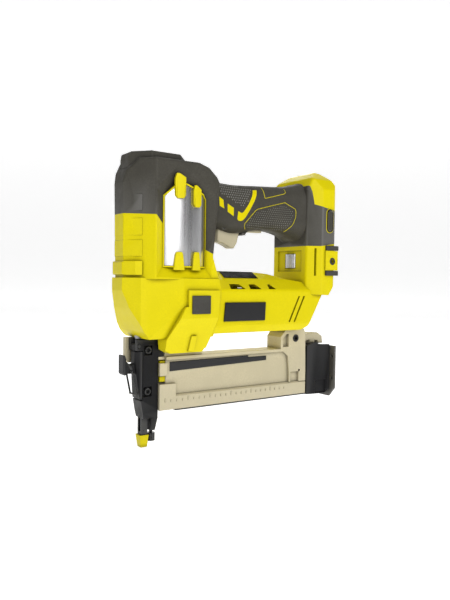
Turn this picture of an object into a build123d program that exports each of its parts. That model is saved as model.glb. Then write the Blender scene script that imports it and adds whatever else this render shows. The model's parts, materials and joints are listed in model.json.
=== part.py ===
"""Cordless brad nailer, built as separate pieces.

Frame: millimetres, +Z up, +X towards the rear, -Y is the tool's left side.
Origin: the centre of the nose pad's contact face, on the line that the driver blade follows.
Each function makes one physical piece; build_parts() names them and main() writes one STEP per node.
"""
from build123d import *
import math
import os

# ---------------------------------------------------------------- driving dimensions
WALL = 3.0              # wall of the moulded housing
SKIN = 2.0              # thickness of the soft grip over the handle
FIT = 0.3               # gap between moving bodies
SEAM_Y = 0.0            # the two clamshells meet here

# head: the tall block over the nose
HEAD_FRONT_X = -25.0
HEAD_FACET = 9.5        # half-width of the flat front facet
HEAD_SIDE = 34.0        # half-width at the side faces
HEAD_SHOULDER_X = -5.1  # where the slanted front face meets the side face
HEAD_BASE_Z = 160.0
HEAD_TOP_Z = 269.5
LID_TOP_Z = 276.0
RECESS_FLOOR = 28.5     # half-width at the floor of the side recess
CAVITY_SIDE = 25.5      # half-width of the cavity in the head

# silver side cover
COVER_X = 27.5
COVER_RADIUS = 39.8
COVER_CROWN = 35.0      # half-width at its crown
COVER_BASE_Z = 172.4
CLAW = 2.4              # thickness of the claws over the cover
COVER_WALL = 1.8
COVER_AXIS_Y = -(COVER_CROWN - COVER_RADIUS)

# lower block and motor housing
BLOCK_SIDE = 36.5
PAD_SIDE = 38.5         # half-width at the boss with the rubber pad
BLOCK_BOTTOM_Z = 104.5
MOTOR_SIDE = 31.0
MOTOR_BOTTOM_Z = 107.5
MOTOR_TOP_Z = 168.5
MOTOR_AXIS_Z = 134.0
MOTOR_RADIUS = 17.0
MOTOR_FRONT_X = 98.0
MOTOR_REAR_X = 158.0

# foot: the column behind the handle, with the battery socket
FOOT_FRONT_X = 180.0
FOOT_REAR_X = 218.0
FOOT_SIDE = 38.0
FOOT_FACET = 27.5
FOOT_TOP_Z = 280.0
FOOT_DARK_Z = 198.0
SOCKET_X = 188.0        # bottom of the battery socket
SOCKET_SIDE = 22.0
SOCKET_LOW_Z = 200.0
SOCKET_HIGH_Z = 252.0
LINER = 2.0

# cylinders inside the head
DRIVE_RADIUS = 17.5
DRIVE_BORE = 15.0
DRIVE_BASE_Z = 136.0
NECK_RADIUS = 8.0
DRIVE_TOP_Z = 232.0
BUMPER_HEIGHT = 11.5
PUMP_X = 41.0
PUMP_RADIUS = 19.0
PUMP_BORE = 16.5
PUMP_BASE_Z = 172.0
PUMP_TOP_Z = 232.0
CRANK_RADIUS = 12.0
ROD_LENGTH = 62.0
PISTON_GAP = 0.05

# magazine
MAG_SIDE = 12.0
MAG_WEB = 9.0
MAG_FRONT_X = 12.0
MAG_REAR_X = 197.0
MAG_BOTTOM_Z = 35.0
MAG_TOP_Z = 86.0
MAG_RIDGE_Z = 49.0
CHANNEL = 2.3           # half-width of the brad channel
CHANNEL_TOP_Z = 83.5
RAIL = 1.9              # half-width of the sliding rail
REAR_BLOCK_X = 197.4
PLATE_X = 232.0
PLATE_THICK = 2.8

# nose
NOSE_SIDE = 9.0
NOSE_FACE_X = -4.2      # front face of the casting, behind the door
NOSE_TOP_Z = 103.5
NOSE_BOTTOM_Z = 28.0
FORK_Y = (2.2, 4.0)     # inner and outer face of the contact fork's arms
EXIT_RADIUS = 2.0       # round hole in the pad for the brad
BLADE_X = 1.3
BLADE_Y = 0.65

NOSE_SCREWS = [(1.5, 93.0), (1.0, 54.0)]
DOOR_HINGE = (-8.0, 97.0)
LEVER_HINGE = (-16.2, 76.5)
BAIL_HINGE = (-14.4, 73.2)
LEVER_SIDE = 5.2        # half-width of the lever
DEPTH_X = 9.0
DEPTH_RADIUS = 4.0
BRACKET_SCREW = (181.0, 97.0)
LATCH_HINGE = (211.0, 88.6)

# trigger
TRIGGER_PIVOT = (84.0, 213.0)
TRIGGER_SIDE = 6.0
HOOK_HOLE = (207.4, 181.8)
DIAL_X = 187.0
DIAL_RADIUS = 9.5
DIAL_Z = (174.5, 189.5)
DIAL_STUB = 2.0

# housing screws: place on the seam plane (x, z) and the housing's half-width there
SHELL_SCREWS = [(30.0, 112.4, 33.0), (62.0, 165.5, 23.0), (84.0, 112.4, 30.5), (134.0, 112.4, 30.5),
                (174.0, 113.0, 30.5), (206.5, 158.0, 38.0), (124.0, 248.0, 17.5), (162.0, 226.0, 20.5)]
SCREW_SHAFT = 1.5
SCREW_HEAD = 3.0
SEAT_DEPTH = 4.0
BOSS_RADIUS = 3.4


# ---------------------------------------------------------------- helpers
def prism(points, axis, low, high):
    """A closed outline swept along one axis. Points are the two other coordinates, in x, y, z order."""
    planes = {
        "X": Plane(origin=(low, 0, 0), x_dir=(0, 1, 0), z_dir=(1, 0, 0)),
        "Y": Plane(origin=(0, high, 0), x_dir=(1, 0, 0), z_dir=(0, -1, 0)),
        "Z": Plane(origin=(0, 0, low), x_dir=(1, 0, 0), z_dir=(0, 0, 1)),
    }
    return extrude(planes[axis] * make_face(Polyline(*points, close=True)), amount=high - low)


def block(x, y, z):
    """A box between pairs of coordinates."""
    size = (x[1] - x[0], y[1] - y[0], z[1] - z[0])
    middle = (sum(x) / 2, sum(y) / 2, sum(z) / 2)
    return Pos(*middle) * Box(*size)


def bar(axis, centre, radius, low, high):
    """A round bar along one axis; centre is its two other coordinates, in x, y, z order."""
    middle = (low + high) / 2
    places = {
        "X": Pos(middle, *centre) * Rot(0, 90, 0),
        "Y": Pos(centre[0], middle, centre[1]) * Rot(90, 0, 0),
        "Z": Pos(centre[0], centre[1], middle),
    }
    return places[axis] * Cylinder(radius, high - low)


def both_sides(half):
    """Mirror a half outline, given with y < 0, into a closed outline about y = 0."""
    return half + [(x, -y) for x, y in reversed(half)]


def to_right(shape):
    """The same piece for the tool's right side."""
    return mirror(shape, about=Plane.XZ)


def long_edges(shape):
    """The edges of a shape that run along X."""
    return shape.edges().filter_by(lambda e: abs(e.tangent_at(0.5).X) > 0.9)


def on_both(shape):
    """A shape together with its mirror image."""
    return shape + to_right(shape)


# ---------------------------------------------------------------- outer forms of the housing
def head_form():
    lean = 2.0
    shoulder = (HEAD_SHOULDER_X, -HEAD_SIDE)
    low_plan = both_sides([(HEAD_FRONT_X, -HEAD_FACET), shoulder, (54, -HEAD_SIDE), (62, -22), (67, -10)])
    high_plan = both_sides([(HEAD_FRONT_X - lean, -HEAD_FACET), shoulder, (65, -HEAD_SIDE), (72, -22),
                            (77, -10)])
    low_face = Pos(0, 0, HEAD_BASE_Z) * make_face(Polyline(*low_plan, close=True))
    high_face = Pos(0, 0, 275) * make_face(Polyline(*high_plan, close=True))
    tower = loft([low_face, high_face], ruled=True)
    side = [(HEAD_FRONT_X - lean, 150), (HEAD_FRONT_X - lean, 246), (-24, 258), (-15, HEAD_TOP_Z),
            (41, HEAD_TOP_Z), (52, 266), (61, 258), (69, 245), (74, 228), (74, 150)]
    form = tower & prism(side, "Y", -50, 50)
    return fillet(form.edges().filter_by(lambda e: e.center().Z > HEAD_BASE_Z + 1), 3.5)


def side_recess():
    """The pointed recess in the head's left face, narrower at its floor."""
    outer = [(-4.8, HEAD_BASE_Z + 1.2), (-4.8, 241), (16, 264), (23, 265), (56, 243), (59, 236),
             (54.5, HEAD_BASE_Z + 1.2)]
    inner = cover_outline(1.5)
    top = Plane(origin=(0, -HEAD_SIDE - 0.2, 0), x_dir=(1, 0, 0), z_dir=(0, -1, 0))
    floor = Plane(origin=(0, -RECESS_FLOOR, 0), x_dir=(1, 0, 0), z_dir=(0, -1, 0))
    return loft([floor * make_face(Polyline(*inner, close=True)),
                 top * make_face(Polyline(*outer, close=True))], ruled=True)


def facet_pad(low, high):
    """A shallow raised rectangle that wraps the head's front facet and half of each slanted face."""
    proud = 0.8
    reach = 0.58
    end_x = HEAD_FRONT_X + reach * (HEAD_SHOULDER_X - HEAD_FRONT_X)
    end_y = HEAD_FACET + reach * (HEAD_SIDE - HEAD_FACET)
    half = [(HEAD_FRONT_X - proud, -HEAD_FACET + 0.4), (end_x - proud, -end_y - 0.5),
            (end_x + 1.6, -end_y + 0.6)]
    return prism(both_sides(half), "Z", low, high)


def front_lug():
    """The small pointed lug low on the head's front."""
    plan = both_sides([(-27.2, -10), (-19.5, -22), (-14, -25)])
    side = [(-28, 166), (-26, 163.5), (-8, 163.5), (-10, 176), (-26, 176), (-28, 174)]
    return prism(plan, "Z", 160, 180) & prism(side, "Y", -40, 40)


def head_buttress():
    """The web that spreads the head's rear corner onto the lower block."""
    return prism([(45, 160.5), (63, 160.5), (55, 184.5), (45, 184.5)], "Y", -HEAD_SIDE, HEAD_SIDE)


def block_form():
    """The wide lower block under the head, with its tapering chin."""
    side = [(-27.3, 161), (-27.3, 149), (-24.5, 140), (-22.5, 133), (-16, 119), (-12, 111),
            (-6, BLOCK_BOTTOM_Z), (62, BLOCK_BOTTOM_Z), (65, 148), (62.5, 161)]
    plan = both_sides([(-27.3, -11), (-15.5, -25.5), (24, -35), (65, -BLOCK_SIDE)])
    width = [(-27, BLOCK_BOTTOM_Z), (-34.8, 134), (-BLOCK_SIDE, 148), (-35.5, 161),
             (35.5, 161), (BLOCK_SIDE, 148), (34.8, 134), (27, BLOCK_BOTTOM_Z)]
    form = prism(side, "Y", -40, 40) & prism(plan, "Z", 100, 161) & prism(width, "X", -40, 70)
    return fillet(long_edges(form).filter_by(lambda e: e.center().Z < 140), 4.0)


def leg_form():
    """The raised boss on the block's side, which runs down to clasp the magazine."""
    side = [(24, 134), (9, 104), (10, 94), (16, 90.5), (51, 90.5), (53, 94), (54.5, 94.5), (58, 110),
            (61, 130), (62, 150), (27.5, 150), (27.5, 135)]
    width = [(-PAD_SIDE, 151), (-PAD_SIDE, 124), (-23, 88), (23, 88), (PAD_SIDE, 124), (PAD_SIDE, 151)]
    ribs = on_both(prism([(-27, 92), (-33, 107), (-30, 107), (-24, 92)], "X", 34, 40))
    return prism(side, "Y", -40, 40) & prism(width, "X", 0, 70) + ribs


def motor_form():
    side = [(58, MOTOR_BOTTOM_Z), (174, MOTOR_BOTTOM_Z), (182, 112), (203.5, 150), (204, 155), (185, 158),
            (158, 162), (140, 167), (124, MOTOR_TOP_Z), (58, MOTOR_TOP_Z)]
    width = [(-28, MOTOR_BOTTOM_Z), (-MOTOR_SIDE, 115), (-MOTOR_SIDE, 150.5), (-20, 161), (-8, MOTOR_TOP_Z),
             (8, MOTOR_TOP_Z), (20, 161), (MOTOR_SIDE, 150.5), (MOTOR_SIDE, 115), (28, MOTOR_BOTTOM_Z)]
    form = prism(side, "Y", -40, 40) & prism(width, "X", 50, 210)
    form = fillet(long_edges(form).filter_by(lambda e: 110 < e.center().Z < 155 and e.length > 60), 5.0)
    return fillet(long_edges(form).filter_by(lambda e: e.center().Z < 110 and e.length > 60), 3.0)


def foot_form(inset=0.0):
    """The column and battery foot. inset moves every face inwards."""
    front = FOOT_FRONT_X + inset
    rear = FOOT_REAR_X - inset
    wide = FOOT_SIDE - inset
    top = FOOT_TOP_Z - inset
    plan = both_sides([(front, -FOOT_FACET + inset / 2), (194 + inset / 2, -wide), (210.5 - inset / 2, -wide),
                       (rear, -wide + 6.5)])
    side = [(front, 146 + inset), (front, 258), (185 + inset / 2, 271 - inset), (193, 277.5 - inset),
            (199, top), (206, 278.8 - inset), (212 - inset, 273 - inset / 2), (216.5 - inset, 264),
            (rear, 252), (rear, 200), (213.5 - inset, 166), (212 - inset, 156), (204 - inset, 145 + inset)]
    width = [(-wide, 140), (-wide, 259), (-32 + inset, 270 - inset), (-17, top), (17, top),
             (32 - inset, 270 - inset), (wide, 259), (wide, 140)]
    form = prism(side, "Y", -45, 45) & prism(plan, "Z", 130, 290) & prism(width, "X", 170, 230)
    if inset <= 0:
        form = fillet(form.edges().filter_by(lambda e: e.center().Z > 195), 4.0)
    return form


def handle_form(inset=0.0):
    """The waisted handle between head and foot: a loft through rounded sections."""
    stations = [(60, 208, 257.5, 16.5), (90, 208.5, 257.5, 16.5), (110, 209.5, 258, 17),
                (124, 212.5, 259, 17.8), (148, 213, 260.5, 18.5), (166, 209.5, 262.5, 21.5),
                (183, 200, 267, 27)]
    sections = []
    for x, low, high, half in stations:
        plane = Plane(origin=(x, 0, (low + high) / 2), x_dir=(0, 1, 0), z_dir=(1, 0, 0))
        width = 2 * (half - inset)
        height = high - low - 2 * inset
        sections.append(plane * RectangleRounded(width, height, 0.36 * width))
    return loft(sections)


def cavity_form():
    """Everything hollow inside the shells, apart from the handle."""
    head = prism(both_sides([(-21.5, -7.5), (-8.5, -CAVITY_SIDE), (48, -CAVITY_SIDE), (58, -20), (64, -7)]),
                 "Z", 150, 266)
    top_slope = prism([(-21.5, 150), (-21.5, 246), (-16, 258), (38, 258), (50, 260), (57, 254), (64, 243),
                       (64, 150)], "Y", -40, 40)
    chin = prism([(-23.5, 158), (-23.5, 149), (-19.3, 134), (-12.5, 120), (-8, 112), (-4, 108), (59, 108),
                  (61, 150), (61, 158)], "Y", -24, 24)
    chin &= prism(both_sides([(-23.5, -9), (-12.5, -22.5), (-8, -24), (62, -24)]), "Z", 100, 160)
    motor = prism([(55, 111), (172, 111), (179, 115), (199, 150), (199, 152.5), (55, 152.5)], "Y", -26, 26)
    return (head & top_slope) + chin + motor


# ---------------------------------------------------------------- zones that divide the outer skin
def cap_zone():
    """Region of the head that is the dark cap."""
    line = [(-45, 220.5), (HEAD_SHOULDER_X, 218), (4, 211), (50, 189), (56, 184.5), (90, 184.5),
            (90, 300), (-45, 300)]
    return prism(line, "Y", -60, 60)


def crown_zone():
    """Region of the foot that is the bright crown strip."""
    line = [(186.5, 242.5), (196, 239.5), (213, 237), (235, 234), (235, 300), (170, 300), (170, 269),
            (178, 266.5), (182.5, 262), (184.5, 256), (185.5, 250)]
    return prism(line, "Y", -60, 60)


def grip_zone():
    """Region of the foot and handle that is covered by the dark soft grip."""
    line = [(50, 195), (140, 195), (165, FOOT_DARK_Z), (193, FOOT_DARK_Z), (235, 205), (235, 300), (50, 300)]
    return prism(line, "Y", -60, 60)


# ---------------------------------------------------------------- shared cuts
def screw_shape(centre, start, sign, length, head_radius, head_height, shaft_radius):
    """A socket-head screw along Y: start is the seat under the head, sign the way the head faces."""
    x, z = centre
    head_end = start + sign * head_height
    tail = start - sign * length
    head = bar("Y", centre, head_radius, min(start, head_end), max(start, head_end))
    socket = extrude(Plane(origin=(x, head_end, z), x_dir=(1, 0, 0), z_dir=(0, -sign, 0))
                     * RegularPolygon(head_radius * 0.55, 6), amount=head_height * 0.6)
    shaft = bar("Y", centre, shaft_radius, min(start, tail), max(start, tail))
    return head - socket + shaft


def housing_screws():
    """The screws that close the clamshells, all driven from the right side."""
    screws = Part()
    for x, z, half_width in SHELL_SCREWS:
        seat = half_width - SEAT_DEPTH
        screws += screw_shape((x, z), seat, 1, seat + 8, SCREW_HEAD, 2.4, SCREW_SHAFT)
    return screws


def screw_holes():
    """Clearance for the shell screws, with counterbores from the right side."""
    holes = Part()
    for x, z, half_width in SHELL_SCREWS:
        seat = half_width - SEAT_DEPTH
        holes += bar("Y", (x, z), SCREW_SHAFT + 0.05, -8.2, seat + 0.1)
        holes += bar("Y", (x, z), SCREW_HEAD + 0.3, seat, 50)
    return holes


def trigger_slot():
    return block((78.6, 108), (-TRIGGER_SIDE - 0.5, TRIGGER_SIDE + 0.5), (190, 220))


def light_slot():
    return block((118.5, 137.5), (-4.3, 4.3), (205, 221))


def dial_window():
    return block((176, 184.5), (-8.5, 8.5), (DIAL_Z[0] - 0.6, DIAL_Z[1] + 0.6))


def dial_panel():
    """The shallow panel round the dial's window."""
    return block((178, FOOT_FRONT_X + 1.5), (-20, 20), (170.5, 193.5))


def battery_opening():
    side = SOCKET_SIDE + LINER
    return block((SOCKET_X - LINER, 230), (-side, side), (SOCKET_LOW_Z - LINER, SOCKET_HIGH_Z + LINER))


def magazine_clearance():
    """The slot in the legs and block that takes the magazine's top, the nose and the bracket."""
    side = MAG_SIDE + 0.4
    slot = block((-30, 70), (-side, side), (80, 103.8))
    top_flange = block((2, 70), (-side, side), (80, 104.6))
    return slot + top_flange


def vent_slots():
    """Slanted slots on the left of the motor housing, three on the chamfer, and the foot's slit."""
    cuts = Part()
    for x in (161, 168):
        line = [(x - 7.2, 116.8), (x - 5.0, 116.8), (x + 8.4, 144), (x + 6.2, 144)]
        cuts += prism(line, "Y", -40, -22)
    for x, width in ((80, 18), (104, 14), (128, 9)):
        line = [(x, 151.2), (x + width, 151.2), (x + width - 5, 156), (x + 1, 156)]
        cuts += prism(line, "Y", -40, -14)
    cuts += block((187.2, 189), (-45, -30), (166, 195.5))
    return on_both(cuts)


def bosses():
    """Screw posts across the cavity, trimmed to the outer form later."""
    posts = Part()
    for x, z, half_width in SHELL_SCREWS:
        posts += bar("Y", (x, z), BOSS_RADIUS, -half_width, half_width)
    return posts


def dial_ribs():
    """Two ribs inside the column with the sockets for the dial's stub axles."""
    ribs = block((181.6, 196), (-12, 12), (170.5, 173.5)) + block((181.6, 196), (-12, 12), (191.5, 194.5))
    return ribs - bar("Z", (DIAL_X, 0), DIAL_STUB + 0.05, 165, 200)


# ---------------------------------------------------------------- housing pieces
def yellow_shell():
    """Both bright clamshells in one, before the split at the seam."""
    body = block_form() + leg_form() + motor_form()
    head = head_form() - cap_zone() + facet_pad(199.5, 214.5) + facet_pad(180.5, 195)
    head += front_lug() + head_buttress()
    head -= on_both(side_recess())
    foot = foot_form() - grip_zone()
    core = handle_form(SKIN) & block((62, 183), (-40, 40), (190, 290))
    column = foot_form(SKIN) & grip_zone() - crown_zone()
    outer = body + head + foot + core + column
    hollow = cavity_form() + handle_form(SKIN + 2.6)
    hollow += foot_form(SKIN + 3) - block((170, 230), (-50, 50), (130, 150))
    shell = outer - hollow + (bosses() & outer) + dial_ribs() + on_both(hook_block())
    shell -= bar("Z", (DIAL_X, 0), DIAL_RADIUS + 0.5, DIAL_Z[0] - 0.6, DIAL_Z[1] + 0.6)
    shell -= trigger_slot() + light_slot() + dial_window() + dial_panel() + battery_opening()
    shell -= magazine_clearance() + vent_slots() + screw_holes() + trigger_pin(0.03)
    shell -= bar("Z", (0, 0), NECK_RADIUS + 0.1, 100, 112) + on_both(hook_hole())
    return shell


def half_of(shape, sign):
    """Keep one side of the seam: sign -1 is the left."""
    low, high = (-80, -SEAM_Y) if sign < 0 else (SEAM_Y, 80)
    return shape & block((-60, 260), (low, high), (0, 320))


def head_cover():
    """The dark cap over the head: a shell with a seat for the lid and a hole for the handle core."""
    cap = (head_form() - on_both(side_recess())) & cap_zone()
    cap += facet_pad(221.5, 236)
    cap -= cavity_form() + handle_form(SKIN) + lid_form(FIT)
    return cap


def lid_form(grow=0.0):
    """The raised lid on the head's top."""
    half = [(-21.5 - grow, -8), (-6, -26 - grow), (24, -26 - grow), (37 + grow, -15)]
    plan = prism(both_sides(half), "Z", 250, LID_TOP_Z)
    side = [(-21 - grow, 258 - grow), (-21 - grow, 270), (-19, LID_TOP_Z), (24, LID_TOP_Z),
            (38.5, 271.5), (38.5, 267 - grow), (0, 267 - grow), (-14, 261 - grow)]
    return plan & prism(side, "Y", -40, 40)


def top_lid():
    lid = lid_form()
    return fillet(lid.edges().filter_by(lambda e: e.center().Z > 262), 2.0)


def grip_skin():
    """The soft dark skin over handle and foot, before the split at the seam."""
    handle = (handle_form() - handle_form(SKIN)) & block((60, 184), (-40, 40), (190, 290))
    foot = (foot_form() - foot_form(SKIN)) & grip_zone()
    foot -= crown_zone()
    skin = handle - foot_form() + (foot - handle_form(SKIN))
    nub = prism([(108.2, 213), (108.2, 207), (112, 206.6), (117, 213)], "Y", -8, 8)
    skin += nub - handle_form(SKIN)
    skin -= head_form() + trigger_slot() + light_slot() + battery_opening() + screw_holes()
    skin -= trigger_pin(0.03)
    return skin


def foot_crown():
    """The bright strip over the foot's top and rear."""
    return ((foot_form() - foot_form(SKIN)) & crown_zone()) - battery_opening() - handle_form(SKIN)


# ---------------------------------------------------------------- trim on the head
def cover_outline(grow=0.0):
    left = 5.8 - grow
    right = 49.2 + grow
    low = COVER_BASE_Z - grow
    return [(left, low), (left, 235.5 + grow / 2), (17, 246.5 + grow), (21, 248 + grow),
            (45.5 + grow / 2, 239 + grow), (right, 234.5 + grow / 2), (right, low)]


def cylinder_cover():
    """The silver part-cylinder that fills the left recess."""
    centre = (COVER_X, COVER_AXIS_Y)
    sleeve = bar("Z", centre, COVER_RADIUS, 160, 260)
    sleeve -= bar("Z", centre, COVER_RADIUS - COVER_WALL, 159, 261)
    return sleeve & prism(cover_outline(), "Y", -60, -RECESS_FLOOR)


def cover_frame():
    """The bright frame round the silver cover, with four claws over it."""
    centre = (COVER_X, COVER_AXIS_Y)
    rim = prism(cover_outline(1.4), "Y", -60, -RECESS_FLOOR) - prism(cover_outline(0.1), "Y", -60, -20)
    frame = rim & bar("Z", centre, COVER_RADIUS + 1.0, 160, 262)
    ring = bar("Z", centre, COVER_RADIUS + CLAW, 160, 262) - bar("Z", centre, COVER_RADIUS + 0.05, 159, 263)
    slope = 2.5
    for left, right, low, high in ((13.5, 23, 234, 256.5), (32, 41, 227, 247)):
        line = [(left + 2.5, low), (left + 0.5, low + slope), (left, high - 5), (left + 1.5, high),
                (left + 4, high), (right + 0.5, high - slope - 1), (right + 0.5, low + slope),
                (right - 1.5, low)]
        frame += ring & prism(line, "Y", -60, -20)
    for left, right, low, high in ((13.5, 22.4, 168.5, 185), (32, 41, 168.5, 185.5)):
        line = [(left - 0.5, low), (left + 1, high - slope), (left + 2, high), (right - 2, high),
                (right - 1, high - slope), (right + 0.5, low)]
        frame += ring & prism(line, "Y", -60, -20)
    return frame


# ---------------------------------------------------------------- controls
def trigger():
    """The curved trigger with its hub at the top."""
    outline = (Polyline((80, 216.5), (79.6, 207), (79.8, 198.6))
               + ThreePointArc((79.8, 198.6), (89, 196.4), (96.5, 192.6))
               + Polyline((96.5, 192.6), (100.5, 192.6), (104, 198), (106.6, 208), (106.6, 211), (92, 216.5),
                          (80, 216.5)))
    plane = Plane(origin=(0, TRIGGER_SIDE, 0), x_dir=(1, 0, 0), z_dir=(0, -1, 0))
    blade = extrude(plane * make_face(outline), amount=2 * TRIGGER_SIDE)
    edges = blade.edges().filter_by(lambda e: e.center().Z < 206 and abs(e.center().Y) > 5)
    blade = chamfer(edges, 1.2)
    return blade - bar("Y", TRIGGER_PIVOT, 1.6, -10, 10)


def trigger_pin(grow=0.0):
    reach = 12.0
    return bar("Y", TRIGGER_PIVOT, 1.55 + grow, -reach - grow, reach + grow)


def trigger_spring():
    """A plain envelope of the return spring, between the trigger and the switch block."""
    return bar("Z", (104, 0), 2.2, 213.4, 220.8) - bar("Z", (104, 0), 1.5, 212, 221)


def switches():
    """The switch block over the trigger and the small one over the light button."""
    body = block((94, 116), (-7, 7), (221, 240))
    plunger = block((98, 101), (-2, 2), (218.5, 221))
    small = block((121.5, 133), (-4, 4), (221, 226))
    return body + plunger + small


def light_button():
    """The pale strip under the handle behind the trigger."""
    face = block((119, 137), (-3.9, 3.9), (210.6, 213.4))
    stem = block((126, 130), (-2, 2), (213.4, 219))
    return face + stem


def pressure_dial():
    """The ribbed thumb dial that sets the drive depth by air pressure."""
    wheel = bar("Z", (DIAL_X, 0), DIAL_RADIUS, *DIAL_Z)
    for index in range(24):
        angle = math.radians(index * 15)
        centre = (DIAL_X + DIAL_RADIUS * math.cos(angle), DIAL_RADIUS * math.sin(angle))
        wheel -= bar("Z", centre, 0.55, DIAL_Z[0] - 1, DIAL_Z[1] + 1)
    return wheel + bar("Z", (DIAL_X, 0), DIAL_STUB, DIAL_Z[0] - 4, DIAL_Z[1] + 4)


# ---------------------------------------------------------------- drive train
def motor_can():
    """Motor body: can, mounting face and rear bearing tower; the shaft passes through it."""
    axis = (0, MOTOR_AXIS_Z)
    can = bar("X", axis, MOTOR_RADIUS, MOTOR_FRONT_X, MOTOR_REAR_X - 14)
    can -= bar("X", axis, MOTOR_RADIUS - 1.5, MOTOR_FRONT_X + 2, MOTOR_REAR_X - 12)
    return can - bar("X", axis, 3.0, 80, 200)


def motor_rotor():
    """Armature, shaft and cooling fan."""
    axis = (0, MOTOR_AXIS_Z)
    shaft = bar("X", axis, 2.0, 82, 168)
    sun = bar("X", axis, 3.3, 80, 89)
    armature = bar("X", axis, 12.0, 106, 138)
    fan = bar("X", axis, 15.5, 149, 151)
    for index in range(9):
        blade = Rot(index * 40, 0, 0) * block((151, 157), (-0.7, 0.7), (4, 15))
        fan += Pos(0, 0, MOTOR_AXIS_Z) * blade
    return shaft + sun + armature + fan


def motor_magnets():
    """Two field magnets inside the can."""
    axis = (0, MOTOR_AXIS_Z)
    ring = bar("X", axis, MOTOR_RADIUS - 1.5, 104, 140) - bar("X", axis, 12.6, 100, 145)
    return ring - block((90, 150), (-40, 40), (MOTOR_AXIS_Z - 4, MOTOR_AXIS_Z + 4))


def motor_bearing():
    """The rear bearing of the motor shaft."""
    axis = (0, MOTOR_AXIS_Z)
    return bar("X", axis, 5.0, 160, 165) - bar("X", axis, 2.05, 155, 170)


def gearbox():
    """Reduction gearbox between motor and crank."""
    axis = (0, MOTOR_AXIS_Z)
    case = bar("X", axis, 16.5, 72, MOTOR_FRONT_X)
    return case - bar("X", axis, 14.0, 75, 95) - bar("X", axis, 3.6, 70, 100)


def planet_carrier():
    """The gearbox output: carrier disc, three planet wheels and the output shaft."""
    axis = (0, MOTOR_AXIS_Z)
    disc = bar("X", axis, 13.0, 76.0, 79.0)
    shaft = bar("X", axis, 3.45, 52.6, 76.0)
    planets = Part()
    for index in range(3):
        angle = math.radians(index * 120)
        centre = (8 * math.sin(angle), MOTOR_AXIS_Z + 8 * math.cos(angle))
        planets += bar("X", centre, 4.2, 79.0, 87.5)
    return disc + shaft + planets


def crank_wheel():
    """Crank disc with its counterweight and short pin."""
    axis = (0, MOTOR_AXIS_Z)
    disc = bar("X", axis, 18.0, 52.5, 58.0) - bar("X", axis, 3.5, 50, 60)
    hub = bar("X", axis, 7.0, 58.0, 62.0) - bar("X", axis, 3.5, 50, 65)
    pin = bar("X", (0, MOTOR_AXIS_Z + CRANK_RADIUS), 3.0, 46.9, 52.5)
    return disc + hub + pin


def piston_low():
    """Height of the pump piston's underside at the top of its stroke."""
    return MOTOR_AXIS_Z + CRANK_RADIUS + ROD_LENGTH - 6


def pump_cylinder():
    """The cylinder that compresses the air."""
    axis = (PUMP_X, 0)
    sleeve = bar("Z", axis, PUMP_RADIUS, PUMP_BASE_Z, PUMP_TOP_Z)
    return sleeve - bar("Z", axis, PUMP_BORE, PUMP_BASE_Z - 1, PUMP_TOP_Z + 1)


def pump_piston():
    """The pump piston with its connecting rod."""
    low = piston_low()
    crown = bar("Z", (PUMP_X, 0), PUMP_BORE - PISTON_GAP, low, low + 14)
    groove = bar("Z", (PUMP_X, 0), 30, low + 8, low + 10.2)
    groove -= bar("Z", (PUMP_X, 0), PUMP_BORE - 1.6, low, low + 14)
    skirt = bar("Z", (PUMP_X, 0), PUMP_BORE - 3, low - 1, low + 7.6)
    return crown - groove - skirt


def wrist_pin():
    z = piston_low() + 2.5
    return bar("Y", (PUMP_X, z), 2.5, -12.5, 12.5)


def connecting_rod():
    """Rod from the crank pin to the pump piston."""
    top = piston_low() + 2.5
    bottom = MOTOR_AXIS_Z + CRANK_RADIUS
    small_end = bar("Y", (PUMP_X, top), 4.5, -4, 4)
    web = block((38.5, 43.5), (-4, 4), (bottom + 5, top))
    big_end = bar("X", (0, bottom), 7.0, 38.5, 46.4)
    return small_end + web + big_end - bar("Y", (PUMP_X, top), 2.55, -20, 20)


def piston_ring():
    low = piston_low()
    ring = bar("Z", (PUMP_X, 0), PUMP_BORE - 0.02, low + 8.1, low + 10.1)
    return ring - bar("Z", (PUMP_X, 0), PUMP_BORE - 1.55, low, low + 14)


def drive_cylinder():
    """The cylinder that fires the driver blade."""
    sleeve = bar("Z", (0, 0), DRIVE_RADIUS, DRIVE_BASE_Z, DRIVE_TOP_Z)
    neck = bar("Z", (0, 0), NECK_RADIUS, NOSE_TOP_Z + 0.3, DRIVE_BASE_Z)
    bore = bar("Z", (0, 0), DRIVE_BORE, DRIVE_BASE_Z + 3, DRIVE_TOP_Z + 1)
    return sleeve + neck - bore - bar("Z", (0, 0), 4.0, NOSE_TOP_Z, DRIVE_BASE_Z + 4)


def cylinder_head():
    """The head that joins both cylinders and holds the air valve."""
    plan = both_sides([(-17.5, -10), (-10, -18), (52, -18), (60, -8)])
    plate = prism(plan, "Z", DRIVE_TOP_Z, DRIVE_TOP_Z + 8)
    valve = bar("Z", (6, 0), 6.0, DRIVE_TOP_Z + 8, DRIVE_TOP_Z + 18)
    return plate + valve


def drive_piston():
    top = DRIVE_TOP_Z - 1.0
    body = bar("Z", (0, 0), DRIVE_BORE - PISTON_GAP, top - 12, top)
    boss = bar("Z", (0, 0), 4.5, top - 20, top - 12)
    slot = block((-BLADE_X, BLADE_X), (-BLADE_Y, BLADE_Y), (top - 21, top - 8))
    return body + boss - slot


def driver_blade():
    """The steel blade that drives the brad."""
    return block((-BLADE_X, BLADE_X), (-BLADE_Y, BLADE_Y), (NOSE_TOP_Z - 15, DRIVE_TOP_Z - 9.0))


def bumper():
    """The rubber stop at the bottom of the drive cylinder."""
    low = DRIVE_BASE_Z + 3
    ring = bar("Z", (0, 0), DRIVE_BORE - 0.4, low, low + BUMPER_HEIGHT)
    return ring - bar("Z", (0, 0), 6.5, low - 1, low + BUMPER_HEIGHT + 1)


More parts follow.
